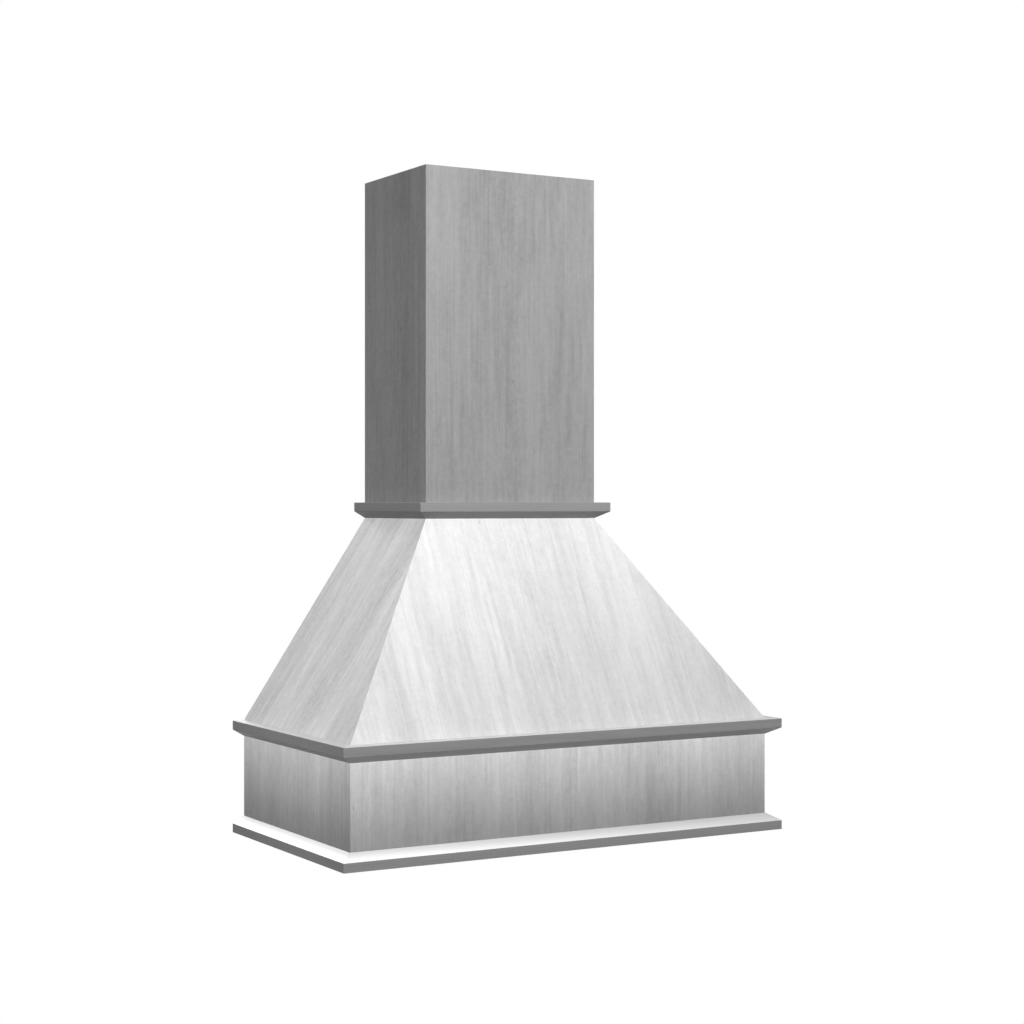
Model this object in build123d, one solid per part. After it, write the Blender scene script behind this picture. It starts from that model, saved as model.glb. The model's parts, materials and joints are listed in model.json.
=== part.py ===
"""A wooden range hood cover: an upright apron, a canopy of sloping panels and a tall chimney.

Millimetres. The wall is the plane Y = 0 and the cover stands out from it towards -Y, with Z up.
The origin is where the cover hangs: on the wall plane, on the centreline, midway between the two
screws that hold the wall cleat. The cover hooks over that cleat and lifts straight up off it.
"""

import os
from collections import namedtuple
from math import hypot

from build123d import *

# Outside of the cover.
apron_width = 963.0  # across the outer faces of the side boards
apron_depth = 514.0  # from the wall to the outer face of the front board
apron_exposed = 165.5  # board that shows between the base and middle mouldings
canopy_exposed = 419.5  # level height of the sloping panels
chimney_width = 405.0
chimney_depth = 284.0
chimney_exposed = 687.5  # panel that shows above the collar moulding

# Section of the moulding that goes round the cover at three levels.
moulding_face = 19.05  # height of its upright face
moulding_bevel = 14.5  # height of the bevel that runs back to the panel
moulding_projection = 25.4

# Stock.
board = 19.05  # thickness of the apron boards, rails and cleats
ply = 12.7  # thickness of the canopy and chimney panels
rail_height = 88.9  # height of the rails and cleats that lie against the wall
strip = 38.1  # width of the strips that the stages are screwed to
block_leg = 38.1  # legs of the glue blocks inside the mitres
spline_thickness = 3.2  # loose tongues glued across the mitres
spline_width = 10.0  # half of it lies in each panel
spline_inset = 7.0  # from the mitre's inner corner to the middle of the tongue
spline_stop = 30.0  # from each end of the mitre to the tongue

# Frames inside the cover. A reach is how far a rail stands in from the face of the panel it is on.
liner_recess = 25.4  # underside of the liner frame, above the cover's bottom edge
liner_rail_reach = 38.1
canopy_rail_reach = 50.8
duct_rail_reach = 25.4
stile_width = 50.8
base_cleat_height = 25.4  # strips that join the chimney to the canopy

# Hanging on the wall.
lift_travel = 25.4  # how far the cover is lifted to clear the wall cleat
cleat_gap = 12.7  # left between the wall cleat and the rail under it when the cover is up
cleat_end_gap = 6.35  # left between each end of a cleat and the stile beside it
stud_spacing = 406.4  # between the wall cleat's two screws
cleat_hole_radius = 4.25
wall_hole_radius = 2.75  # screws that pin the cover once it hangs
top_hole_spacing = 254.0

# Washer-head wood screws. There are many of them, so flats stand in for their round surfaces.
screw_head_radius = 5.5
screw_head_height = 1.8
screw_shank_radius = 2.1
screw_flat_count = 12
screw_bite = 12.7  # how far a screw goes into the second piece
cleat_screw_count = 5
front_screw_count = 4
side_screw_count = 3
duct_rail_screw_count = 2
cleat_screw_margin = 60.0  # from the end screws of a row to the end of what they hold
front_screw_margin = 60.0
side_screw_margin = 120.0
duct_screw_margin = 45.0

# Levels, counted up from the bottom edge.
moulding_height = moulding_face + moulding_bevel
apron_height = moulding_height + apron_exposed + moulding_height
hanging_height = apron_height + board + lift_travel + cleat_gap + rail_height / 2
z_bottom = -hanging_height
z_middle_moulding = z_bottom + moulding_height + apron_exposed
z_canopy_foot = z_bottom + apron_height
z_canopy_top = z_canopy_foot + canopy_exposed
z_top = z_canopy_top + moulding_height + chimney_exposed
oversize = 2 * (apron_width + z_top - z_bottom)  # larger than anything it is cut against

# The cover is three stages. Each one has a front, a left and a right panel, and is open to the wall.
# An outline is a stage's outer width and depth, and stock is the thickness of its panels.
Stage = namedtuple("Stage", "foot top low high stock")
apron_outline = (apron_width, apron_depth)
chimney_outline = (chimney_width, chimney_depth)
apron = Stage(apron_outline, apron_outline, z_bottom, z_canopy_foot, board)
canopy = Stage(apron_outline, chimney_outline, z_canopy_foot, z_canopy_top, ply)
chimney = Stage(chimney_outline, chimney_outline, z_canopy_top, z_top, ply)
panels = {"apron": (apron, "board"), "canopy": (canopy, "panel"), "chimney": (chimney, "panel")}
outward = {"front": Vector(0, -1, 0), "left": Vector(-1, 0, 0), "right": Vector(1, 0, 0)}
sides = {"left": -1, "right": 1}
up = Vector(0, 0, 1)

# Inner faces of the two upright stages, from the centreline or from the wall.
apron_inner_side = apron_width / 2 - board
apron_inner_front = apron_depth - board
chimney_inner_side = chimney_width / 2 - ply
chimney_inner_front = chimney_depth - ply

pieces = {}


def block(x, y, z):
    """A square-cut piece between two limits on each axis."""
    low, high = zip(x, y, z)
    size = [b - a for a, b in zip(low, high)]
    middle = [(a + b) / 2 for a, b in zip(low, high)]
    return Pos(*middle) * Box(*size)


def spread(count, half_length):
    """Evenly spaced places from -half_length to half_length."""
    return [half_length * (2 * i / (count - 1) - 1) for i in range(count)]


def reach(wall, outline):
    """How far a wall's outer face stands from the centreline or, for the front, from the wall."""
    width, depth = outline
    return depth if wall == "front" else width / 2


def outer_plane(stage, wall):
    """The outer face of one wall of a stage, facing out. It leans in if the stage tapers."""
    rise = stage.high - stage.low
    lean = reach(wall, stage.foot) - reach(wall, stage.top)
    foot = outward[wall] * reach(wall, stage.foot) + up * stage.low
    return Plane(origin=foot, x_dir=outward[wall].cross(up), z_dir=outward[wall] * rise + up * lean)


def level_thickness(stage, wall):
    """The thickness of a leaning panel measured level, as on its sawn foot."""
    rise = stage.high - stage.low
    lean = reach(wall, stage.foot) - reach(wall, stage.top)
    return stage.stock * hypot(rise, lean) / rise


def front_corner(outline, side, level):
    """An outer front corner of an outline; side is -1 for the left and 1 for the right."""
    width, depth = outline
    return Vector(side * width / 2, -depth, level)


def inner_corner(stage, side):
    """The front corner of a stage's foot on the inner faces of its panels."""
    inward = Vector(-side * level_thickness(stage, "left"), level_thickness(stage, "front"), 0)
    return front_corner(stage.foot, side, stage.low) + inward


def hip(stage, side):
    """The direction in which a stage's front corner climbs."""
    return front_corner(stage.top, side, stage.high) - front_corner(stage.foot, side, stage.low)


def mitre_plane(stage, side):
    """The cut between the front panel and a side panel, facing the side panel.

    It holds the outer and the inner line of the corner, so on the canopy it is a compound mitre.
    """
    outer = front_corner(stage.foot, side, stage.low)
    across = inner_corner(stage, side) - outer
    climb = hip(stage, side)
    return Plane(origin=outer, x_dir=climb, z_dir=across.cross(climb) * side)


def mitred_panel(stage, wall):
    """One panel of a stage: a sheet on its outer plane, sawn level at foot and top, then mitred."""
    sheet = extrude(outer_plane(stage, wall) * Rectangle(oversize, oversize), amount=-stage.stock)
    panel = sheet & block((-oversize, oversize), (-oversize, 0), (stage.low, stage.high))
    if wall == "front":
        for side in sides.values():
            panel = split(panel, bisect_by=mitre_plane(stage, side), keep=Keep.BOTTOM)
        return panel
    return split(panel, bisect_by=mitre_plane(stage, sides[wall]), keep=Keep.TOP)


def room(stage, low, high, behind=0):
    """The space inside a stage between two levels, stopping short of the wall by behind."""
    width, depth = stage.foot
    space = block((-width / 2, width / 2), (-depth, -behind), (low, high))
    for wall in outward:
        inner = outer_plane(stage, wall).offset(-stage.stock)
        space = split(space, bisect_by=inner, keep=Keep.BOTTOM)
    return space


def rails(space, half_width, front, back):
    """Cut a level slab into four rails round an opening. The side rails butt between the others."""
    all_over = (-oversize, oversize)
    between = (-front, -back)
    cuts = {
        "front": block(all_over, (-oversize, -front), all_over),
        "back": block(all_over, (-back, oversize), all_over),
        "left": block((-oversize, -half_width), between, all_over),
        "right": block((half_width, oversize), between, all_over),
    }
    return {side: space & cut for side, cut in cuts.items()}


def moulding_run(outline, wall, level, upside_down):
    """One length of moulding on the outside of a wall, mitred at the front corners."""
    width, depth = outline
    out = moulding_projection
    points = [(0, 0), (out, moulding_bevel), (out, moulding_height), (0, moulding_height)]
    if upside_down:
        points = [(x, moulding_height - y) for x, y in points]
    section = make_face(Polyline(*points, close=True))
    starts = {
        "front": Vector(width / 2 + out, -depth, level),
        "left": Vector(-width / 2, -depth - out, level),
        "right": Vector(width / 2, 0, level),
    }
    lengths = {"front": width + 2 * out, "left": depth + out, "right": depth + out}
    seat = Plane(origin=starts[wall], x_dir=outward[wall], z_dir=outward[wall].cross(up))
    run = extrude(seat * section, amount=lengths[wall])
    for name, side in sides.items():
        if wall in ("front", name):
            mitre = Plane(origin=front_corner(outline, side, level), z_dir=(side, 1, 0))
            run = split(run, bisect_by=mitre, keep=Keep.BOTTOM if wall == "front" else Keep.TOP)
    return run


def screw(length):
    """A wood screw pointing down, with the underside of its washer head at the origin."""
    head = extrude(RegularPolygon(screw_head_radius, screw_flat_count), amount=screw_head_height)
    shank = extrude(RegularPolygon(screw_shank_radius, screw_flat_count), amount=-length)
    return head + shank


def add_screws(name, screws, through):
    """Keep a row of screws as one group, and drill them into every piece that they pass through."""
    pieces[name] = Compound([one.solid() for one in screws])
    for drilled in through:
        pieces[drilled] = pieces[drilled] - screws


def wall_holes(radius, half_spacing, level):
    """Two holes at one level, straight through whatever lies against the wall."""
    along_y = Rot(90, 0, 0) * Cylinder(radius, oversize)
    return [Pos(x, 0, level) * along_y for x in (-half_spacing, half_spacing)]


def spline(stage, side):
    """A loose tongue across a stage's mitre. It lies along the hip, square to the mitre's cut."""
    seat = mitre_plane(stage, side)
    inner = seat.to_local_coords(inner_corner(stage, side))
    length = hip(stage, side).length
    middle = Pos(length / 2, inner.Y + side * spline_inset, 0)
    return seat * middle * Box(length - 2 * spline_stop, spline_thickness, spline_width)


def make_panels():
    """The panels that show, three to each stage, and the tongues in grooves across their mitres."""
    for name, (stage, kind) in panels.items():
        splines = [spline(stage, side) for side in sides.values()]
        pieces[f"{name}_mitre_splines"] = Compound([one.solid() for one in splines])
        for wall in outward:
            pieces[f"{name}_{wall}_{kind}"] = mitred_panel(stage, wall) - splines


def make_mouldings():
    """The base, middle and collar mouldings. The base one has its bevel on top."""
    for wall in outward:
        pieces[f"base_moulding_{wall}"] = moulding_run(apron_outline, wall, z_bottom, True)
        middle = moulding_run(apron_outline, wall, z_middle_moulding, False)
        pieces[f"middle_moulding_{wall}"] = middle
        collar = moulding_run(chimney_outline, wall, z_canopy_top, False)
        pieces[f"collar_moulding_{wall}"] = collar


def make_apron_frame():
    """What is inside the apron: its back rail, the liner frame, glue blocks and top cleats."""
    back_span = (-apron_inner_side, apron_inner_side)
    back_rail = block(back_span, (-board, 0), (z_bottom, z_bottom + rail_height))
    pinned = z_bottom + rail_height / 2
    pieces["apron_back_rail"] = back_rail - wall_holes(wall_hole_radius, stud_spacing / 2, pinned)

    liner_low = z_bottom + liner_recess
    liner_high = liner_low + board
    liner_frame = rails(
        room(apron, liner_low, liner_high, behind=board),
        half_width=apron_inner_side - liner_rail_reach,
        front=apron_inner_front - liner_rail_reach,
        back=board + liner_rail_reach,
    )
    for side, rail in liner_frame.items():
        pieces[f"liner_frame_{side}"] = rail

    cleat_low = z_canopy_foot - board
    cleats = rails(
        room(apron, cleat_low, z_canopy_foot),
        half_width=apron_inner_side - strip,
        front=apron_inner_front - strip,
        back=0,
    )
    for wall in outward:
        pieces[f"apron_top_cleat_{wall}"] = cleats[wall]

    for name in sides:
        pieces[f"apron_corner_block_{name}"] = corner_block(apron, name, liner_high, cleat_low)


def corner_block(stage, name, low, high):
    """A three-sided glue block that fills the inside of a stage's mitre between two levels."""
    side = sides[name]
    corner = inner_corner(stage, side)
    on_front = corner - Vector(side * block_leg, 0, 0)
    on_side = corner + Vector(0, block_leg, 0)
    facing_out = (on_side - on_front).cross(hip(stage, side)) * side
    chop = Plane(origin=on_front, z_dir=facing_out)
    return split(room(stage, low, high), bisect_by=chop, keep=Keep.TOP)


def make_canopy_frame():
    """The level frames at the canopy's foot and top, and the blocks inside its hips."""
    low = z_canopy_foot + board
    high = z_canopy_top - board
    frames = {
        "base": rails(
            room(canopy, z_canopy_foot, low),
            half_width=apron_inner_side - canopy_rail_reach,
            front=apron_inner_front - canopy_rail_reach,
            back=canopy_rail_reach,
        ),
        "top": rails(
            room(canopy, high, z_canopy_top),
            half_width=chimney_inner_side - duct_rail_reach,
            front=chimney_inner_front - duct_rail_reach,
            back=duct_rail_reach,
        ),
    }
    for level, frame in frames.items():
        for side, rail in frame.items():
            pieces[f"canopy_{level}_rail_{side}"] = rail
    for name in sides:
        pieces[f"canopy_hip_block_{name}"] = corner_block(canopy, name, low, high)


def stile_half_opening(level):
    """Half the width between the canopy's two back stiles at a level."""
    inner = outer_plane(canopy, "right").offset(-ply - stile_width)
    climb = level - inner.origin.Z
    return inner.origin.X - climb * inner.z_dir.Z / inner.z_dir.X


def make_hanging_parts():
    """The back stiles, the rail across them, and the two halves of the bevelled cleat."""
    low = z_canopy_foot + board
    high = z_canopy_top - board
    against_wall = block((-oversize, oversize), (-board, 0), (low, high))
    for name in sides:
        edge = outer_plane(canopy, name).offset(-ply - stile_width)
        back = room(canopy, low, high) & against_wall
        pieces[f"canopy_back_stile_{name}"] = split(back, bisect_by=edge, keep=Keep.TOP)

    hook_front = rail_height / 2
    hook_back = hook_front - board
    cleat_top = hook_back + rail_height
    across = block((-oversize, oversize), (-2 * board, -board), (hook_front, cleat_top))
    pieces["canopy_hanging_rail"] = room(canopy, low, high) & across

    half_length = stile_half_opening(cleat_top) - cleat_end_gap
    ends = Plane.YZ.offset(-half_length)
    bevel = [(0, hook_back), (-board, hook_front)]
    upper = Polyline(*bevel, (-board, cleat_top), (0, cleat_top), close=True)
    lower = Polyline(*bevel, (-board, -hook_front), (0, -hook_front), close=True)
    pieces["hanging_cleat"] = extrude(ends * make_face(upper), amount=2 * half_length)
    wall_cleat = extrude(ends * make_face(lower), amount=2 * half_length)
    pieces["wall_cleat"] = wall_cleat - wall_holes(cleat_hole_radius, stud_spacing / 2, 0)

    level = (hook_front + cleat_top) / 2
    driven_back = Rot(90, 0, 0) * screw(board + screw_bite)
    places = spread(cleat_screw_count, half_length - cleat_screw_margin)
    screws = [Pos(x, -2 * board, level) * driven_back for x in places]
    add_screws("hanging_cleat_screws", screws, ["canopy_hanging_rail", "hanging_cleat"])


def make_chimney_frame():
    """What is inside the chimney: base cleats, corner strips, back rails and top nailers."""
    base_high = z_canopy_top + base_cleat_height
    inner = dict(half_width=chimney_inner_side - board, front=chimney_inner_front - board, back=board)
    for side, cleat in rails(room(chimney, z_canopy_top, base_high), **inner).items():
        pieces[f"chimney_base_cleat_{side}"] = cleat

    nailer_low = z_top - strip
    nailers = rails(room(chimney, nailer_low, z_top, behind=board), **inner)
    for wall in outward:
        pieces[f"chimney_top_nailer_{wall}"] = nailers[wall]

    corner_depth = (-chimney_inner_front, board - chimney_inner_front)
    for name, side in sides.items():
        corner_width = sorted((side * chimney_inner_side, side * (chimney_inner_side - board)))
        strip_piece = block(corner_width, corner_depth, (base_high, nailer_low))
        pieces[f"chimney_corner_strip_{name}"] = strip_piece

    across = (-chimney_inner_side, chimney_inner_side)
    middle = (z_canopy_top + z_top) / 2
    middle_span = (middle - rail_height / 2, middle + rail_height / 2)
    pieces["chimney_back_rail_middle"] = block(across, (-board, 0), middle_span)
    top_rail = block(across, (-board, 0), (z_top - rail_height, z_top))
    pinned = z_top - rail_height / 2
    top_rail = top_rail - wall_holes(wall_hole_radius, top_hole_spacing / 2, pinned)
    pieces["chimney_back_rail_top"] = top_rail


def make_joining_screws():
    """Screws that hold the canopy down on the apron, and the chimney down on the canopy."""
    side_line = apron_inner_side - strip / 2
    front_line = apron_inner_front - strip / 2
    front_row = [(x, -front_line) for x in spread(front_screw_count, side_line - front_screw_margin)]
    half_run = apron_inner_front / 2
    side_places = spread(side_screw_count, half_run - side_screw_margin)
    side_rows = [(side * side_line, y - half_run) for side in sides.values() for y in side_places]
    driven_down = Pos(0, 0, z_canopy_foot + board) * screw(board + screw_bite)
    add_screws(
        "canopy_base_screws",
        [Pos(x, y) * driven_down for x, y in front_row + side_rows],
        [f"{part}_{wall}" for part in ("canopy_base_rail", "apron_top_cleat") for wall in outward],
    )

    side_line = chimney_inner_side - board / 2
    front_line = chimney_inner_front - board / 2
    across = spread(duct_rail_screw_count, side_line - duct_screw_margin)
    rows = [(x, y) for x in across for y in (-front_line, -board / 2)]
    half_run = chimney_inner_front / 2
    along = spread(duct_rail_screw_count, half_run - board - duct_screw_margin)
    rows += [(side * side_line, y - half_run) for side in sides.values() for y in along]
    driven_down = Pos(0, 0, z_canopy_top + base_cleat_height) * screw(base_cleat_height + screw_bite)
    frame_sides = (*outward, "back")
    add_screws(
        "chimney_base_screws",
        [Pos(x, y) * driven_down for x, y in rows],
        [f"{part}_{side}" for part in ("chimney_base_cleat", "canopy_top_rail") for side in frame_sides],
    )


make_panels()
make_mouldings()
make_apron_frame()
make_canopy_frame()
make_hanging_parts()
make_chimney_frame()
make_joining_screws()

os.makedirs("parts", exist_ok=True)
for node, shape in pieces.items():
    export_step(shape, f"parts/{node}.step")
print(len(pieces), "nodes, from", round(z_bottom, 2), "to", round(z_top, 2))
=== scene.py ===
"""Looks of the wooden range hood cover: stained veneer, eased arrises, screws, studio light and camera.

Every length is in metres and every place is in the row frame: the wall is Y = 0, the front faces -Y, Z is up.
"""

import json
from collections import namedtuple
from itertools import product
from math import cos, pi, radians, sin

import bmesh
import bpy
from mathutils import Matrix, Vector

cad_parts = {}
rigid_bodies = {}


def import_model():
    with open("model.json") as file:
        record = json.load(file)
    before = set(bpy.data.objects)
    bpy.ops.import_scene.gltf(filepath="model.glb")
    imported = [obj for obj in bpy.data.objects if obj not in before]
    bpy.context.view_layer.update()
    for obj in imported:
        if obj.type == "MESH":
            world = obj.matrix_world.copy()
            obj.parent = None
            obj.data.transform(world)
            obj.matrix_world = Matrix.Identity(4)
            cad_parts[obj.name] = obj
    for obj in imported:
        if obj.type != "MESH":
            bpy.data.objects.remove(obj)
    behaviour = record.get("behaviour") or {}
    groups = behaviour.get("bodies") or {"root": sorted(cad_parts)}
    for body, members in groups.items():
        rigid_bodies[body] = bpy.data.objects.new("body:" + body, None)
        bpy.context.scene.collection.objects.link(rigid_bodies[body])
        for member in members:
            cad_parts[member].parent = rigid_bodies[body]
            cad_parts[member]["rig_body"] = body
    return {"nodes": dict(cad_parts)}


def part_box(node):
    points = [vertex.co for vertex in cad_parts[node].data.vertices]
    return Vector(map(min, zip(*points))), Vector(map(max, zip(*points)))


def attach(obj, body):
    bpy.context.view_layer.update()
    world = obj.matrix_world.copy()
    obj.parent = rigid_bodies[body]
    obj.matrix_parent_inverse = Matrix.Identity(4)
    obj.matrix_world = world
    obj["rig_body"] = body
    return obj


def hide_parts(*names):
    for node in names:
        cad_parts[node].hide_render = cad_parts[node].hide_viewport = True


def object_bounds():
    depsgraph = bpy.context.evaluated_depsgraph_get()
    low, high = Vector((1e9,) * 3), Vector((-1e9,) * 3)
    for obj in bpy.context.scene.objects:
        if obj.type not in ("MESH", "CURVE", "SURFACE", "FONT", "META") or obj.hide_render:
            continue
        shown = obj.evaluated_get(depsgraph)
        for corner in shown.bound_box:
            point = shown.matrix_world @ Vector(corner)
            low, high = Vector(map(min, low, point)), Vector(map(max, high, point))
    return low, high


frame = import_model()
cad_low, cad_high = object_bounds()
nodes = frame["nodes"]
millimetre = 0.001
up = Vector((0, 0, 1))
rightwards = Vector((1, 0, 0))
wallwards = Vector((0, 1, 0))
base_low, base_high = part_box("base_moulding_front")
moulding_height = base_high.z - base_low.z

# What the nodes' names are made of
walls = ("front", "left", "right")
panel_kinds = {"apron": "board", "canopy": "panel", "chimney": "panel"}
moulding_runs = ("base", "middle", "collar")

# Shapes
panel_easing = 0.7 * millimetre
moulding_easing = 1.0 * millimetre
frame_easing = 1.6 * millimetre
spline_easing = panel_easing / 2
easing_segments = 2
corner_radius = 1.4 * millimetre
corner_flats = 3
shortest_eased_edge = 5 * millimetre
weld_distance = 0.01 * millimetre
cut_tolerance = 0.001 * millimetre
flat_angle = radians(1)
sharp_angle = radians(20)
shading_angle = radians(40)
outer_arris_angle = radians(100)
mitre_slant = 0.2  # the least product of the sideways and backwards parts of a mitre's normal
steep = 0.7  # the least share of its length by which an upright piece's longest edge rises

# Screws. Their outline is a run of rings, each as two shares: of the head's radius and height for the head,
# of the shank's radius and the pitch for the thread, and of the shank's radius and the length for the tip.
screw_sides = 24
screw_head_fit = 0.985  # of the CAD head's radius, between its flats and its corners
screw_recess = [(0.150, 0.38), (0.288, 0.40), (0.300, 0.94), (0.324, 1.0)]
screw_dome = [(0.46, 0.98), (0.62, 0.86), (0.70, 0.62), (0.73, 0.42)]
screw_washer = [(0.93, 0.36), (0.99, 0.28), (1.0, 0.16), (0.97, 0.0)]
thread_start = 0.4  # of the length
thread_end = 0.91  # of the length
thread_turns = 7
thread_turn = [(0.72, 0.0), (0.72, 0.3), (0.98, 0.5), (0.98, 0.6)]
screw_tip = [(0.7, 0.9), (0.08, 0.995)]
screw_turn = 0.7  # each screw is driven this many radians further than the one before it

# Each piece of wood has a number. It shifts the piece in the figures, so that no two are alike.
first_panel_number = 1
first_moulding_number = 20
first_frame_number = 40
shift_across = 1.37
shift_along = 0.83

# Wood
grain_wander = 8 * millimetre
season_length = 20 * millimetre
season_shift = 5 * millimetre
season_row = 0.37  # any row of the noise would do
veneer_ring_spacing = 4.6 * millimetre
heart_shift = 25 * millimetre
flat_cut_slope = 0.07
flat_cut_sway = 50 * millimetre
flat_cut_start = -20 * millimetre
pore_softness = 0.12
ply_thickness = 1.4 * millimetre
ply_unevenness = 0.25 * millimetre

# The photograph is grey throughout, so the stain is neutral. Colours are linear.
# A panel's grey is its stain with painted light and shade in it: the canopy, which slopes up, is painted
# paler than the chimney, and the sides darker than the fronts.
# Its grey changes from foot to top, which is painted light, and loses a share from its left or wall end to
# its other end, which is painted shade.
PanelStainAndLight = namedtuple("PanelStainAndLight", "foot_grey top_grey loss figure")
panel_stains_and_light = {
    "apron front": PanelStainAndLight(foot_grey=0.346, top_grey=0.806, loss=0.04, figure=1.0),
    "apron side": PanelStainAndLight(foot_grey=0.204, top_grey=0.630, loss=0.18, figure=1.15),
    "canopy front": PanelStainAndLight(foot_grey=0.560, top_grey=0.702, loss=0.16, figure=0.88),
    "canopy side": PanelStainAndLight(foot_grey=0.415, top_grey=0.545, loss=0.05, figure=1.3),
    "chimney front": PanelStainAndLight(foot_grey=0.360, top_grey=0.382, loss=0.0, figure=1.05),
    "chimney side": PanelStainAndLight(foot_grey=0.310, top_grey=0.249, loss=0.03, figure=1.45),
}
# A moulding's grey is its stain, with the sides painted darker than the fronts as shade. Its bevel and top
# are painted lighter than its face by a share, as light on faces that look up, or painted darker as shade
# where that share is below 0.
# The bevel's painted light is more by its falloff share at the left end of the hood, and less by it at the
# right end.
MouldingStainAndLight = namedtuple("MouldingStainAndLight", "grey bevel_lift top_lift bevel_loss")
moulding_stains_and_light = {
    "base front": MouldingStainAndLight(grey=0.288, bevel_lift=1.14, top_lift=0.0, bevel_loss=0.38),
    "base side": MouldingStainAndLight(grey=0.171, bevel_lift=4.6, top_lift=0.0, bevel_loss=0.0),
    "middle front": MouldingStainAndLight(grey=0.296, bevel_lift=0.33, top_lift=0.42, bevel_loss=0.34),
    "middle side": MouldingStainAndLight(grey=0.182, bevel_lift=0.24, top_lift=0.74, bevel_loss=0.0),
    "collar front": MouldingStainAndLight(grey=0.346, bevel_lift=-0.42, top_lift=-0.30, bevel_loss=0.0),
    "collar side": MouldingStainAndLight(grey=0.276, bevel_lift=-0.38, top_lift=-0.25, bevel_loss=0.0),
}
# The base moulding's bevel gets this share of its painted light at its top, under the apron, which is painted
# shade, and this share at its foot.
bevel_painted_light_at_top = 0.6
bevel_painted_light_at_foot = 1.3
fade_bend = 1.2  # over 1, so that a panel's grey changes slowly at its foot and faster above
palest_stain = 0.92
raw_dark = (0.37, 0.29, 0.20)
raw_light = (0.58, 0.485, 0.365)
ply_dark = (0.23, 0.175, 0.12)
ply_light = (0.44, 0.36, 0.265)
lacquer_specular = 0.12
lacquer_relief = 0.6

# Zinc
zinc_dark = (0.16, 0.165, 0.17)
zinc_light = (0.34, 0.34, 0.335)
zinc_clouds_per_metre = (900, 900, 900)
zinc_scratches_per_metre = (9000, 1500, 4000)
zinc_relief = 0.4

# Camera, fitted to the photograph: 1024 pixels square, level, turned to the right
image_size = 1024
focal_pixels = 1992.6
centre_pixel = 512.5
horizon_pixel = 504.3
camera_height_over_bottom = 0.6817
camera_place = Vector((-2.0792, -3.8755, camera_height_over_bottom + cad_low.z))
camera_yaw = radians(30.08)
sensor_width = 36.0

# Studio
ambient_strength = 0.11
lamp_target = (0, -0.3, 0.1)  # inside the canopy
mounting_height = 1.676
floor_radius = 2.5
floor_sides = 96
floor_dark = (0.78, 0.78, 0.78)
floor_light = (0.82, 0.82, 0.82)
floor_mottles_per_metre = (5, 5, 5)
floor_roughness = 0.9
floor_specular = 0.1
floor_glow = 0.7
white = (1, 1, 1)


# ---------------------------------------------------------------- shapes


def welded(node):
    """A CAD node's solid as a mesh with shared corners and whole faces."""
    mesh = bmesh.new()
    mesh.from_mesh(nodes[node].data)
    bmesh.ops.remove_doubles(mesh, verts=mesh.verts, dist=weld_distance)
    bmesh.ops.dissolve_limit(mesh, angle_limit=flat_angle, verts=mesh.verts, edges=mesh.edges)
    return mesh


def is_mitre(face):
    """Mitres look both sideways and backwards. Besides them, only splines and glue blocks have such faces."""
    return abs(face.normal.x * face.normal.y) > mitre_slant


def mitre_arrises(mesh):
    """Each outer arris at a mitre: a point on it, this piece's face there and its neighbour's."""
    found = []
    for edge in mesh.edges:
        mitres = [face for face in edge.link_faces if is_mitre(face)]
        shown = [face for face in edge.link_faces if not is_mitre(face)]
        if len(mitres) != 1 or len(shown) != 1 or not edge.is_convex:
            continue
        own = shown[0].normal.copy()
        other = own.reflect(mitres[0].normal)
        if edge.calc_face_angle() > outer_arris_angle:
            found.append((edge.verts[0].co.copy(), own, other))
    return found


def ease(mesh, width):
    """Rounds the outward edges over, apart from those of mitres, which stay shut, and the rims of holes."""
    edges = [
        edge
        for edge in mesh.edges
        if edge.is_convex
        and edge.calc_face_angle() > sharp_angle
        and edge.calc_length() > shortest_eased_edge
        and not any(is_mitre(face) for face in edge.link_faces)
    ]
    bmesh.ops.bevel(
        mesh,
        geom=edges,
        offset=width,
        segments=easing_segments,
        profile=0.5,
        affect="EDGES",
        clamp_overlap=True,
    )


def round_corner(mesh, point, own, other):
    """Planes a mitred corner round, with the same cuts on both sides of the mitre."""
    bisector = (own + other).normalized()
    centre = point - bisector * corner_radius / own.dot(bisector)
    for cut in range(corner_flats):
        normal = own.slerp(other, (cut + 1) / (corner_flats + 1))
        everything = mesh.verts[:] + mesh.edges[:] + mesh.faces[:]
        result = bmesh.ops.bisect_plane(
            mesh,
            geom=everything,
            dist=cut_tolerance,
            plane_co=centre + normal * corner_radius,
            plane_no=normal,
            clear_outer=True,
        )
        rim = [part for part in result["geom_cut"] if isinstance(part, bmesh.types.BMEdge)]
        open_rim = [edge for edge in rim if edge.is_boundary]
        bmesh.ops.holes_fill(mesh, edges=open_rim, sides=0)


def add_object(name, data):
    """A new object with this mesh, lamp or camera, in the scene."""
    made = bpy.data.objects.new(name, data)
    bpy.context.scene.collection.objects.link(made)
    return made


def add_mesh(name, mesh):
    """A new object with this mesh, which is used up."""
    data = bpy.data.meshes.new(name)
    mesh.to_mesh(data)
    mesh.free()
    return add_object(name, data)


def as_piece(name, mesh):
    """A finished mesh as an object, smooth over its easings and sharp elsewhere."""
    bmesh.ops.recalc_face_normals(mesh, faces=mesh.faces)
    for face in mesh.faces:
        face.smooth = True
    for edge in mesh.edges:
        edge.smooth = edge.is_manifold and edge.calc_face_angle() < shading_angle
    piece = add_mesh(name, mesh)
    weighted = piece.modifiers.new("flat faces stay flat", "WEIGHTED_NORMAL")
    weighted.keep_sharp = True
    return piece


def stand_for(piece, node, material):
    """The piece takes over its CAD node's place, body and slot."""
    piece.data.materials.append(material)
    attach(piece, nodes[node]["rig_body"])
    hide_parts(node)


def eased_piece(node, width):
    """The node's solid with its edges eased and its mitred corners planed round."""
    mesh = welded(node)
    arrises = mitre_arrises(mesh)
    ease(mesh, width)
    for point, own, other in arrises:
        round_corner(mesh, point, own, other)
    return as_piece(node + "_eased", mesh)


# ---------------------------------------------------------------- node trees


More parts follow.
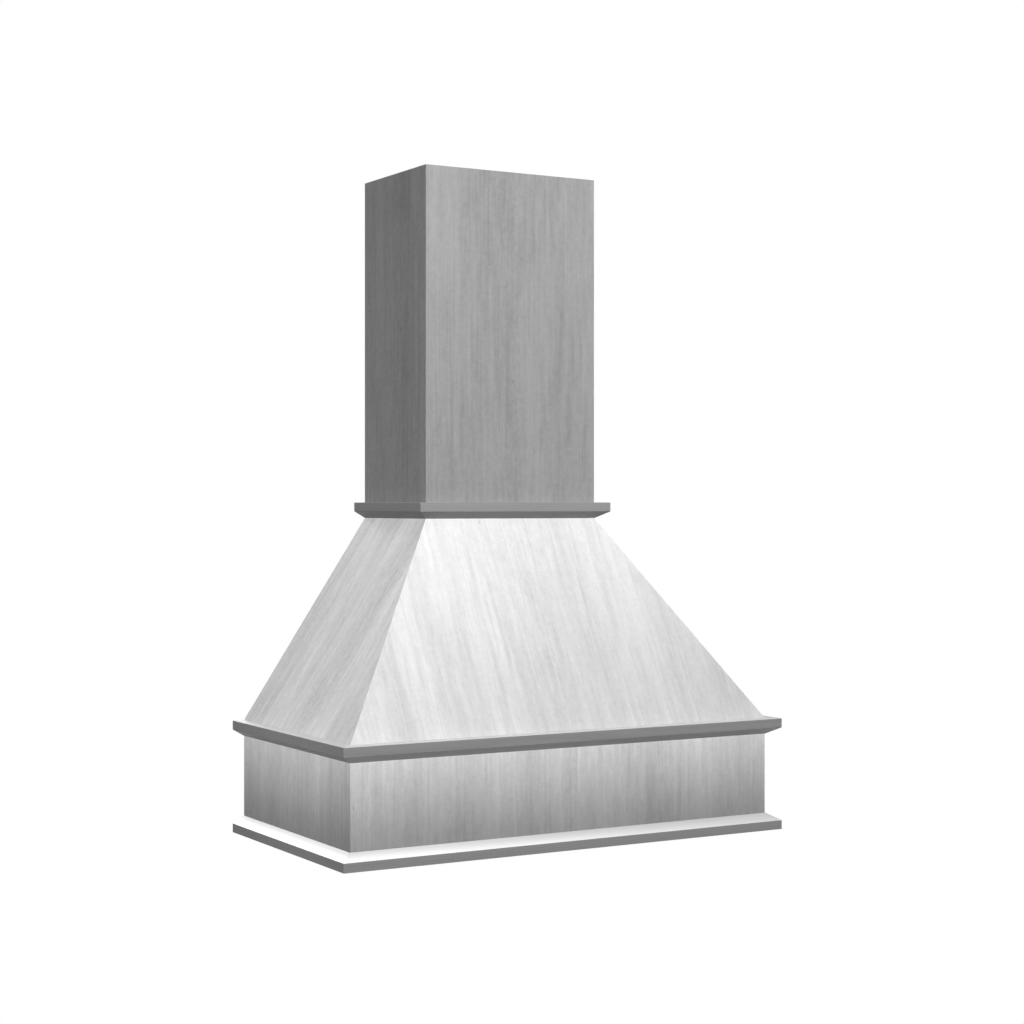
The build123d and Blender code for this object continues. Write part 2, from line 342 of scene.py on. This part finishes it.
class Tree:
    """A node tree, with short calls for the nodes that the finishes and the world are made of."""

    def __init__(self, tree):
        self.nodes = tree.nodes
        self.links = tree.links

    def put(self, socket, value):
        """A socket takes another node's output, a number, a vector or a colour."""
        if isinstance(value, bpy.types.NodeSocket):
            self.links.new(value, socket)
        elif isinstance(value, (int, float)) or len(value) == len(socket.default_value):
            socket.default_value = value
        else:
            socket.default_value = (*value, 1.0)

    def node(self, kind, *values, output=0, **settings):
        """One output of a new node, whose first inputs take the values in order."""
        made = self.nodes.new(kind)
        for setting, value in settings.items():
            setattr(made, setting, value)
        for socket, value in zip(made.inputs, values):
            self.put(socket, value)
        return made.outputs[output]

    def math(self, operation, *values):
        return self.node("ShaderNodeMath", *values, operation=operation)

    def total(self, *terms, base=0.0):
        """The base and the sum of (strength, value) pairs."""
        result = base
        for strength, value in terms:
            result = self.math("MULTIPLY_ADD", value, strength, result)
        return result

    def coordinates(self, kind):
        return self.node("ShaderNodeTexCoord", output=kind)

    def vector(self, x, y, z):
        return self.node("ShaderNodeCombineXYZ", x, y, z)

    def dot(self, first, second):
        return self.node("ShaderNodeVectorMath", first, second, output="Value", operation="DOT_PRODUCT")

    def scaled(self, place, factors):
        return self.node("ShaderNodeVectorMath", place, factors, operation="MULTIPLY")

    def noise(self, place, detail=2.0, roughness=0.5):
        """Noise about 0, mostly from -0.5 to 0.5."""
        made = self.nodes.new("ShaderNodeTexNoise")
        self.put(made.inputs["Vector"], place)
        made.inputs["Scale"].default_value = 1.0
        made.inputs["Detail"].default_value = detail
        made.inputs["Roughness"].default_value = roughness
        return self.math("SUBTRACT", made.outputs["Fac"], 0.5)

    def remap(self, value, low, high, new_low=0.0, new_high=1.0, steps="SMOOTHSTEP"):
        """From new_low at low to new_high at high, and level beyond them."""
        numbers = (low, high, new_low, new_high)
        return self.node("ShaderNodeMapRange", value, *numbers, interpolation_type=steps)

    def mix(self, share, first, second):
        """A blend of two colours. The share is held between 0 and 1."""
        made = self.nodes.new("ShaderNodeMix")
        made.data_type = "RGBA"
        share_socket, first_socket, second_socket = made.inputs[0], made.inputs[6], made.inputs[7]
        self.put(share_socket, share)
        self.put(first_socket, first)
        self.put(second_socket, second)
        return made.outputs[2]

    def seen(self):
        """1 where the camera looks, or metal or glass mirrors or lets through, and 0 for other light."""
        rays = self.nodes.new("ShaderNodeLightPath").outputs
        mirrored = self.math("MAXIMUM", rays["Is Glossy Ray"], rays["Is Transmission Ray"])
        return self.math("MAXIMUM", rays["Is Camera Ray"], mirrored)


class Finish(Tree):
    """A new material."""

    def __init__(self, name):
        self.material = bpy.data.materials.new(name)
        self.material.use_nodes = True
        super().__init__(self.material.node_tree)
        self.shader = self.nodes["Principled BSDF"]

    def shade(self, values):
        """Sets the shader's inputs by their names."""
        for name, value in values.items():
            self.put(self.shader.inputs[name], value)

    def relief(self, height, depth, strength):
        """Bumps of this height, as a share of the depth."""
        bump = self.nodes.new("ShaderNodeBump")
        bump.inputs["Strength"].default_value = strength
        bump.inputs["Distance"].default_value = depth
        self.put(bump.inputs["Height"], height)
        self.shade({"Normal": bump.outputs["Normal"]})


# ---------------------------------------------------------------- figures of wood


class Grain:
    """Where a point lies in its board: across the grain, along it, and in depth.

    The number shifts the places across and along. The side is the place across the grain without that shift.
    """

    def __init__(self, finish, along, out, number):
        self.finish = finish
        self.across_axis = along.cross(out).normalized()
        self.along_axis = along
        self.out_axis = out
        self.place = finish.coordinates("Object")
        self.normal = finish.coordinates("Normal")
        self.side = finish.dot(self.place, self.across_axis)
        self.across = finish.math("ADD", self.side, shift_across * number)
        self.along = finish.math("ADD", finish.dot(self.place, along), shift_along * number)
        self.depth = finish.dot(self.place, out)
        wander = finish.noise(self.at(0.20, 0.90, 1.0), detail=1.0)
        self.side = finish.math("MULTIPLY_ADD", wander, grain_wander, self.side)
        self.across = finish.math("MULTIPLY_ADD", wander, grain_wander, self.across)

    def at(self, width, length, thickness):
        """The place measured in units of a figure's own width, length and thickness, given in metres."""
        multiply = self.finish.math
        return self.finish.vector(
            multiply("MULTIPLY", self.across, 1 / width),
            multiply("MULTIPLY", self.along, 1 / length),
            multiply("MULTIPLY", self.depth, 1 / thickness),
        )

    def facing(self):
        """1 on the outer face, -1 on the inner one and 0 on the edges."""
        return self.finish.dot(self.normal, self.out_axis)

    def ends(self):
        """1 on end grain and 0 elsewhere."""
        lengthwise = self.finish.dot(self.normal, self.along_axis)
        return self.finish.remap(self.finish.math("ABSOLUTE", lengthwise), 0.7, 0.9)


def growth_rings(finish, side, deep, spacing):
    """Rings round a pith at side = deep = 0: each year darkens slowly and ends sharply, 0 to 1."""
    side_squared = finish.math("MULTIPLY", side, side)
    radius_squared = finish.math("MULTIPLY_ADD", deep, deep, side_squared)
    radius = finish.math("SQRT", radius_squared)
    age = finish.math("MULTIPLY", radius, 1 / season_length)
    seasons = finish.noise(finish.vector(age, season_row, spacing / millimetre), detail=1.0)
    radius = finish.math("MULTIPLY_ADD", seasons, season_shift, radius)
    phase = finish.math("FRACT", finish.math("MULTIPLY", radius, 1 / spacing))
    late = finish.remap(phase, 0.30, 0.90)
    early = finish.remap(phase, 0.90, 1.0, 1.0, 0.0)
    return finish.math("MULTIPLY", late, early)


def cathedral(finish, grain, heart):
    """Faint arches where a flat cut crosses the year rings, strongest along the heart of the sheet."""
    sway = finish.noise(grain.at(0.05, 0.12, 1.0), detail=2.0)
    side = finish.math("ADD", grain.side, -heart)
    deep = finish.total((flat_cut_slope, grain.along), (flat_cut_sway, sway), base=flat_cut_start)
    arches = growth_rings(finish, side, deep, veneer_ring_spacing)
    near = finish.remap(finish.math("ABSOLUTE", side), 15 * millimetre, 60 * millimetre, 1.0, 0.0)
    return finish.math("MULTIPLY", arches, near)


def veneer_figure(finish, grain, heart):
    """Straight grain, from broad bands down to fine mottle: brightness about 0, and its streaks alone."""
    bands = finish.noise(grain.at(0.080, 0.90, 1.0), detail=0.0)
    clouds = finish.noise(grain.at(0.092, 0.24, 1.0), detail=0.0)
    stripes = finish.noise(grain.at(0.022, 0.90, 1.0), detail=2.0, roughness=0.85)
    streaks = finish.noise(grain.at(0.012, 0.12, 1.0), detail=2.0, roughness=0.65)
    flames = finish.noise(grain.at(0.021, 0.066, 1.0), detail=2.0, roughness=1.0)
    mottle = finish.noise(grain.at(0.011, 0.012, 1.0), detail=2.0, roughness=1.0)
    threads = finish.noise(grain.at(0.0036, 0.30, 1.0), detail=0.0)
    arches = cathedral(finish, grain, heart)
    figure = finish.total(
        (0.22, bands),
        (0.10, clouds),
        (0.22, stripes),
        (0.32, streaks),
        (0.18, flames),
        (0.26, mottle),
        (0.12, threads),
        (-0.045, arches),
    )
    return figure, streaks


def solid_figure(finish, grain, number):
    """Rings, fibres, streaks and pores through the whole piece."""
    spacing = (2.6 + 0.35 * (number % 5)) * millimetre
    pith = (50 + 13 * (number % 7)) * millimetre
    sway = finish.noise(grain.at(0.09, 0.45, 0.09), detail=2.0)
    side = finish.total((1.0, grain.side), (12 * millimetre, sway), base=pith)
    deep = finish.math("ADD", grain.depth, 0.6 * pith)
    rings = growth_rings(finish, side, deep, spacing)
    fibres = finish.noise(grain.at(0.0016, 0.07, 0.0016), detail=3.0, roughness=0.6)
    streaks = finish.noise(grain.at(0.014, 0.25, 0.014), detail=3.0)
    dark = pores(finish, grain.at(0.0007, 0.010, 0.0007), 0.17)
    return rings, fibres, streaks, dark


def pores(finish, place, threshold):
    """Short dark dashes along the grain, 0 to 1, the fewer the higher the threshold."""
    dashes = finish.noise(place, detail=1.0)
    return finish.remap(dashes, threshold, threshold + pore_softness)


def flecks(finish, grain):
    """A few small dark specks, 0 to 1."""
    cell = finish.nodes.new("ShaderNodeTexVoronoi")
    finish.put(cell.inputs["Vector"], grain.at(0.055, 0.13, 10.0))
    cell.inputs["Scale"].default_value = 1.0
    return finish.remap(cell.outputs["Distance"], 0.022, 0.05, 1.0, 0.0)


def edge_wear(finish, reach):
    """1 on an arris that handling has rubbed lighter, 0 away from it."""
    bevel = finish.nodes.new("ShaderNodeBevel")
    bevel.samples = 4
    bevel.inputs["Radius"].default_value = reach
    own_normal = finish.node("ShaderNodeNewGeometry", output="Normal")
    turned = finish.dot(bevel.outputs["Normal"], own_normal)
    return finish.remap(turned, 0.80, 0.99, 1.0, 0.0)


def plies(finish, grain):
    """Alternate light and dark layers on a panel's edge, as a tone of about 0 to 1."""
    uneven = finish.noise(grain.at(0.02, 0.02, 1.0), detail=2.0)
    depth = finish.math("MULTIPLY_ADD", uneven, ply_unevenness, grain.depth)
    layers = finish.math("SINE", finish.math("MULTIPLY", depth, pi / ply_thickness))
    fibres = finish.noise(grain.at(0.0012, 0.0012, 0.0006), detail=2.0)
    hard = finish.remap(layers, -0.25, 0.25)
    return finish.total((0.8, hard), (0.5, fibres), base=0.1)


# ---------------------------------------------------------------- finishes


def lacquer(finish, colour, roughness, height, depth):
    """The finished material of lacquered or planed wood, with satin sheen and relief."""
    finish.shade({"Base Color": colour, "Roughness": roughness, "Specular IOR Level": lacquer_specular})
    finish.relief(height, depth, lacquer_relief)
    return finish.material


def panel_grey(finish, grain, box, stain_and_light):
    """The grey of a panel with this box: its stain, with painted light that changes it from foot to top and
    painted shade that darkens it sideways.

    It stays level for a moulding's height at the foot and at the top.
    """
    low, high = box
    height = finish.dot(grain.place, up)
    foot, top = low.z + moulding_height, high.z - moulding_height
    # Painted light: the grey changes from foot to top.
    rise = finish.math("POWER", finish.remap(height, foot, top, steps="LINEAR"), fade_bend)
    upwards = finish.math("MULTIPLY_ADD", rise, stain_and_light.top_grey - stain_and_light.foot_grey, stain_and_light.foot_grey)
    # Painted shade: the grey loses a share from the left or wall end to the other end.
    is_front = high.x > 0 > low.x
    way = rightwards if is_front else -wallwards
    start, end = sorted((low.dot(way), high.dot(way)))
    along = finish.dot(grain.place, way)
    sideways = finish.remap(along, start, end, 1 + stain_and_light.loss / 2, 1 - stain_and_light.loss / 2, steps="LINEAR")
    return finish.math("MULTIPLY", upwards, sideways)


def stained_panel(name, along, out, number, stain_and_light):
    """Veneered panel: stain with painted light and shade outside, plies on its edges, and raw inside."""
    finish = Finish(name)
    grain = Grain(finish, along, out, number)
    low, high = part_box(name)
    heart = grain.across_axis.dot((low + high) / 2) + heart_shift * (number % 3 - 1)
    # The grey is the stain with painted light and shade in it.
    grey = panel_grey(finish, grain, (low, high), stain_and_light)
    figure, streaks = veneer_figure(finish, grain, heart)
    dark = pores(finish, grain.at(0.0007, 0.009, 1.0), 0.16)
    specks = flecks(finish, grain)
    wear = edge_wear(finish, 2.5 * millimetre)
    tone = finish.total((stain_and_light.figure, figure), (-0.06, dark), (-0.20, specks), (0.05, wear), base=1.0)
    stained_with_painted_light = finish.math("MINIMUM", finish.math("MULTIPLY", tone, grey), palest_stain)
    raw = finish.mix(finish.total((2.8, figure), (-0.15, dark), base=0.5), raw_dark, raw_light)
    edge = finish.mix(plies(finish, grain), ply_dark, ply_light)
    facing = grain.facing()
    unstained = finish.mix(finish.remap(facing, -0.6, -0.4), raw, edge)
    colour = finish.mix(finish.remap(facing, 0.25, 0.4), unstained, stained_with_painted_light)
    roughness = finish.total((0.25, streaks), (0.12, dark), (-0.05, wear), base=0.54)
    height = finish.total((0.5, streaks), (-1.0, dark))
    return lacquer(finish, colour, roughness, height, 0.12 * millimetre)


def moulding_painted_light(finish, grain, stain_and_light):
    """Painted light on a moulding: 1 on its upright faces, and as much more as its record says on its bevel
    and its top, or less where that is painted shade.

    The base moulding's bevel is painted lighter at its foot and darker at its top, under the apron, and the
    bevels of the others are level.
    """
    facing_up = finish.dot(grain.normal, up)
    level = finish.math("MULTIPLY", facing_up, facing_up)
    sloping = finish.math("MULTIPLY", level, finish.math("SUBTRACT", 1.0, level))
    bevel_top, bevel_foot = base_high.z, base_high.z - moulding_height / 2
    height = finish.dot(grain.place, up)
    # Painted shade at the top of the base moulding's bevel, under the apron, and painted light at its foot.
    painted_bevel_light = finish.remap(height, bevel_top, bevel_foot, bevel_painted_light_at_top, bevel_painted_light_at_foot)
    # Painted light that is more at the left end of the hood and less at the right.
    painted_light_falloff_per_metre = 2 * stain_and_light.bevel_loss / (cad_high.x - cad_low.x)
    sideways = finish.dot(grain.place, -painted_light_falloff_per_metre * rightwards)
    painted_bevel_light = finish.math("MULTIPLY", painted_bevel_light, finish.math("ADD", sideways, 1.0))
    bevel = finish.math("MULTIPLY", sloping, painted_bevel_light)
    # Painted light on faces that look up, or painted shade where the share is below 0.
    top = finish.remap(facing_up, 0.50, 0.97)
    sloping_at_45_degrees = 0.25
    bevel_strength = stain_and_light.bevel_lift / sloping_at_45_degrees
    return finish.total((bevel_strength, bevel), (stain_and_light.top_lift, top), base=1.0)


def stained_timber(name, along, out, number, stain_and_light):
    """Moulding stock under the same stain, with a quiet lengthwise grain, and painted light and shade on its
    bevel, top and sides.
    """
    finish = Finish(name)
    grain = Grain(finish, along, out, number)
    rings, fibres, streaks, dark = solid_figure(finish, grain, number)
    ends = grain.ends()
    wear = edge_wear(finish, 2.0 * millimetre)
    figure = finish.total(
        (-0.05, rings),
        (0.10, fibres),
        (0.16, streaks),
        (-0.04, dark),
        (0.10, wear),
        (-0.25, ends),
        base=1.02,
    )
    # The tone takes the painted light and shade of the bevel and the top.
    tone = finish.math("MULTIPLY", figure, moulding_painted_light(finish, grain, stain_and_light))
    colour = finish.math("MINIMUM", finish.math("MULTIPLY", tone, stain_and_light.grey), palest_stain)
    roughness = finish.total((0.25, fibres), (0.15, dark), (0.10, ends), base=0.52)
    height = finish.total((0.6, fibres), (-0.8, dark), (-0.3, rings))
    return lacquer(finish, colour, roughness, height, 0.10 * millimetre)


def raw_timber(name, along, out, number):
    """Planed softwood without a finish: growth rings on every face, darker on its end grain."""
    finish = Finish(name)
    grain = Grain(finish, along, out, number)
    rings, fibres, streaks, dark = solid_figure(finish, grain, number)
    ends = grain.ends()
    tone = finish.total(
        (-0.42, rings),
        (0.40, fibres),
        (0.70, streaks),
        (-0.10, dark),
        (-0.28, ends),
        base=0.62 + 0.05 * (number % 4),
    )
    colour = finish.mix(tone, raw_dark, raw_light)
    roughness = finish.total((0.25, fibres), (0.10, dark), (0.10, ends), base=0.64)
    height = finish.total((0.6, fibres), (-0.8, dark), (-0.3, rings))
    return lacquer(finish, colour, roughness, height, 0.15 * millimetre)


def zinc(name):
    """Dulled zinc plate, a little uneven, with fine scratches from the driver."""
    finish = Finish(name)
    place = finish.coordinates("Object")
    cloud = finish.noise(finish.scaled(place, zinc_clouds_per_metre), detail=3.0)
    scratch = finish.noise(finish.scaled(place, zinc_scratches_per_metre), detail=2.0)
    colour = finish.mix(finish.math("ADD", cloud, 0.5), zinc_dark, zinc_light)
    roughness = finish.total((0.3, cloud), (0.25, scratch), base=0.50)
    finish.shade({"Base Color": colour, "Metallic": 1.0, "Roughness": roughness})
    finish.relief(scratch, 0.03 * millimetre, zinc_relief)
    return finish.material


def floor_finish():
    """Pale and matt, nearly white where it is seen, and clear towards its rim and from below."""
    finish = Finish("floor")
    place = finish.coordinates("Object")
    mottle = finish.noise(finish.scaled(place, floor_mottles_per_metre))
    colour = finish.mix(finish.math("ADD", mottle, 0.5), floor_dark, floor_light)
    finish.shade({"Base Color": colour, "Roughness": floor_roughness, "Specular IOR Level": floor_specular})
    glow = finish.math("MULTIPLY", finish.seen(), floor_glow)
    glowing = finish.node("ShaderNodeEmission", white, 1.0)
    pale = finish.node("ShaderNodeMixShader", glow, finish.shader.outputs[0], glowing)
    distance = finish.node("ShaderNodeVectorMath", place, operation="LENGTH", output="Value")
    behind = finish.node("ShaderNodeNewGeometry", output="Backfacing")
    fade = finish.math("MAXIMUM", finish.remap(distance, 0.5 * floor_radius, floor_radius), behind)
    clear = finish.node("ShaderNodeBsdfTransparent")
    surface = finish.node("ShaderNodeMixShader", fade, pale, clear)
    finish.put(finish.nodes["Material Output"].inputs["Surface"], surface)
    return finish.material


# ---------------------------------------------------------------- wooden pieces


def longest_edge(node):
    """The direction of the node's longest edge, along which solid timber has its grain."""
    mesh = welded(node)
    edge = max(mesh.edges, key=lambda item: item.calc_length())
    direction = (edge.verts[1].co - edge.verts[0].co).normalized()
    mesh.free()
    return direction


def largest_face(node):
    """The normal of the node's largest face that looks away from the middle of the hood."""
    mesh = welded(node)
    middle = Vector((0, cad_low.y / 2, 0))
    level = Vector((1, 1, 0))
    outward = [
        face
        for face in mesh.faces
        if face.normal.dot((face.calc_center_median() - middle) * level) > 0
    ]
    normal = max(outward, key=lambda item: item.calc_area()).normal.copy()
    mesh.free()
    return normal


def square_to(axis, direction):
    """The part of the direction that is square to the axis, one unit long."""
    return (direction - axis * direction.dot(axis)).normalized()


def stain_and_light_for(stains, part, wall):
    """The stain with painted light and shade of one part on one wall. The left and the right side share
    theirs.
    """
    kind = "front" if wall == "front" else "side"
    return stains[f"{part} {kind}"]


def make_panels():
    """The nine boards and panels, with their grain straight up the slope."""
    for number, (part, wall) in enumerate(product(panel_kinds, walls), start=first_panel_number):
        node = f"{part}_{wall}_{panel_kinds[part]}"
        out = largest_face(node)
        stain_and_light = stain_and_light_for(panel_stains_and_light, part, wall)
        material = stained_panel(node, square_to(out, up), out, number, stain_and_light)
        stand_for(eased_piece(node, panel_easing), node, material)


def make_mouldings():
    """The three mitred runs of moulding, with lengthwise grain."""
    for number, (part, wall) in enumerate(product(moulding_runs, walls), start=first_moulding_number):
        node = f"{part}_moulding_{wall}"
        stain_and_light = stain_and_light_for(moulding_stains_and_light, part, wall)
        material = stained_timber(node, longest_edge(node), up, number, stain_and_light)
        stand_for(eased_piece(node, moulding_easing), node, material)


def make_frame():
    """Rails, cleats, blocks, stiles and splines of raw softwood: all that nothing stands for yet."""
    left = sorted(name for name in nodes if not nodes[name].hide_render and "screws" not in name)
    for number, node in enumerate(left, start=first_frame_number):
        along = longest_edge(node)
        out = square_to(along, up if abs(along.z) < steep else wallwards)
        material = raw_timber(node, along, out, number)
        easing = spline_easing if "splines" in node else frame_easing
        stand_for(eased_piece(node, easing), node, material)


# ---------------------------------------------------------------- screws


def screw_rings(length, head_radius, head_height, shank_radius):
    """The screw's outline as (radius, height from under the head, is it square), from recess to tip."""
    rings = [(x * head_radius, y * head_height, True) for x, y in screw_recess]
    rings += [(x * head_radius, y * head_height, False) for x, y in screw_dome + screw_washer]
    rings.append((shank_radius, 0.0, False))
    pitch = (thread_end - thread_start) * length / thread_turns
    for turn, (x, y) in product(range(thread_turns), thread_turn):
        rings.append((x * shank_radius, -thread_start * length - pitch * (turn + y), False))
    rings += [(x * shank_radius, -y * length, False) for x, y in screw_tip]
    return rings


def add_screw(mesh, place, axis, rings, turn):
    """One washer-head screw. Its place is under the head, and its axis points out of the head."""
    first = axis.orthogonal().normalized()
    second = axis.cross(first)
    loops = []
    for radius, height, square in rings:
        loop = []
        for step in range(screw_sides):
            angle = 2 * pi * step / screw_sides
            reach = radius / max(abs(cos(angle)), abs(sin(angle))) if square else radius
            around = first * cos(angle + turn) + second * sin(angle + turn)
            loop.append(mesh.verts.new(place + axis * height + around * reach))
        loops.append(loop)
    for upper, lower in zip(loops, loops[1:]):
        for step in range(screw_sides):
            after = (step + 1) % screw_sides
            mesh.faces.new((upper[step], lower[step], lower[after], upper[after]))
    mesh.faces.new(loops[0])
    mesh.faces.new(reversed(loops[-1]))


def fit_screw(mesh, corners, number):
    """Adds a screw that fills the box of the CAD screw with these corners."""
    low = Vector([min(corner[i] for corner in corners) for i in range(3)])
    high = Vector([max(corner[i] for corner in corners) for i in range(3)])
    middle = (low + high) / 2
    size = high - low
    longest = max(range(3), key=lambda i: size[i])
    axis = Vector([float(i == longest) for i in range(3)])
    head_radius = max(abs(corner[i] - middle[i]) for corner in corners for i in range(3) if i != longest)

    def radius(corner):
        offset = corner - middle
        return (offset - axis * axis.dot(offset)).length

    head = [corner for corner in corners if radius(corner) > 0.9 * head_radius]
    if sum(axis.dot(corner - middle) for corner in head) < 0:
        axis = -axis
    head_levels = [axis.dot(corner) for corner in head]
    under_head = min(head_levels)
    head_height = max(head_levels) - under_head
    shank_radius = min(radius(corner) for corner in corners if axis.dot(corner) < under_head - millimetre)
    place = middle + axis * (under_head - axis.dot(middle))
    length = size[longest] - head_height
    rings = screw_rings(length, screw_head_fit * head_radius, head_height, shank_radius)
    add_screw(mesh, place, axis, rings, screw_turn * number)


def islands(mesh):
    """The separate solids of a mesh, as lists of corners."""
    left = set(mesh.verts)
    found = []
    while left:
        group = [left.pop()]
        for vertex in group:
            for edge in vertex.link_edges:
                other = edge.other_vert(vertex)
                if other in left:
                    left.discard(other)
                    group.append(other)
        found.append([vertex.co.copy() for vertex in group])
    return found


def low_corner(corners):
    """The low corner of a solid's box, to a tenth of a millimetre, by which the solids are put in order."""
    return [round(min(corner[i] for corner in corners), 4) for i in range(3)]


def make_screws(material):
    """Each CAD screw gets a detailed one of the same size in the same place."""
    for node in sorted(name for name in nodes if name.endswith("_screws")):
        source = welded(node)
        solids = sorted(islands(source), key=low_corner)
        source.free()
        mesh = bmesh.new()
        for number, corners in enumerate(solids):
            fit_screw(mesh, corners, number)
        stand_for(as_piece(node + "_detailed", mesh), node, material)


# ---------------------------------------------------------------- studio


def make_camera():
    """The photograph's own view."""
    data = bpy.data.cameras.new("camera")
    data.sensor_width = sensor_width
    data.lens = focal_pixels / image_size * sensor_width
    data.shift_x = (image_size / 2 - centre_pixel) / image_size
    data.shift_y = (horizon_pixel - image_size / 2) / image_size
    camera = add_object("camera", data)
    camera.location = camera_place
    camera.rotation_euler = (radians(90), 0, -camera_yaw)
    bpy.context.scene.camera = camera


def make_lamp(name, place, target, size, watts, shadow=True, spread=pi):
    """A square lamp. The pieces cast no shadows in the photograph, so its main lamps cast none.

    A ray that meets such a lamp by chance would still be blocked by the mouldings, so the lamp
    isn't looked for in that way.
    """
    data = bpy.data.lights.new(name, "AREA")
    data.shape = "SQUARE"
    data.size = size
    data.spread = spread
    data.energy = watts
    data.use_shadow = shadow
    data.cycles.use_multiple_importance_sampling = shadow
    lamp = add_object(name, data)
    lamp.location = place
    lamp.rotation_euler = (Vector(target) - Vector(place)).to_track_quat("-Z", "Y").to_euler()


def make_lamps():
    """The overhead, front and left lamps shape the photographed sides, the others the rest."""
    make_lamp("overhead", (0.0, -0.3, 8.0), lamp_target, size=6.0, watts=424, shadow=False)
    make_lamp("front", (-1.4, -3.75, 3.3), lamp_target, size=3.2, watts=218, shadow=False)
    base_left = (-0.5, -0.3, -0.3)
    make_lamp("left", (-1.6, -0.4, 0.3), base_left, size=0.5, watts=0.95, shadow=False, spread=radians(60))
    make_lamp("right", (3.0, -0.8, 0.8), lamp_target, size=1.2, watts=22)
    make_lamp("back", (0.5, 3.6, 1.2), (0, -0.2, 0.3), size=2.4, watts=80)


def make_world():
    """White where it is seen, and a softer grey as light."""
    world = bpy.data.worlds.new("studio")
    world.use_nodes = True
    tree = Tree(world.node_tree)
    light = tree.nodes["Background"]
    tree.put(light.inputs["Color"], white)
    tree.put(light.inputs["Strength"], ambient_strength)
    backdrop = tree.node("ShaderNodeBackground", white, 1.0)
    surface = tree.node("ShaderNodeMixShader", tree.seen(), light.outputs[0], backdrop)
    tree.put(tree.nodes["World Output"].inputs["Surface"], surface)
    bpy.context.scene.world = world


def make_floor():
    """A pale round floor a hood's mounting height below, which fades into the white."""
    mesh = bmesh.new()
    bmesh.ops.create_circle(mesh, cap_ends=True, segments=floor_sides, radius=floor_radius)
    floor = add_mesh("floor", mesh)
    floor.location = (0, cad_low.y / 2, cad_low.z - mounting_height)
    floor.data.materials.append(floor_finish())


make_panels()
make_mouldings()
make_frame()
make_screws(zinc("zinc"))

make_camera()
make_world()
make_floor()
make_lamps()
bpy.context.scene.view_settings.view_transform = "Standard"
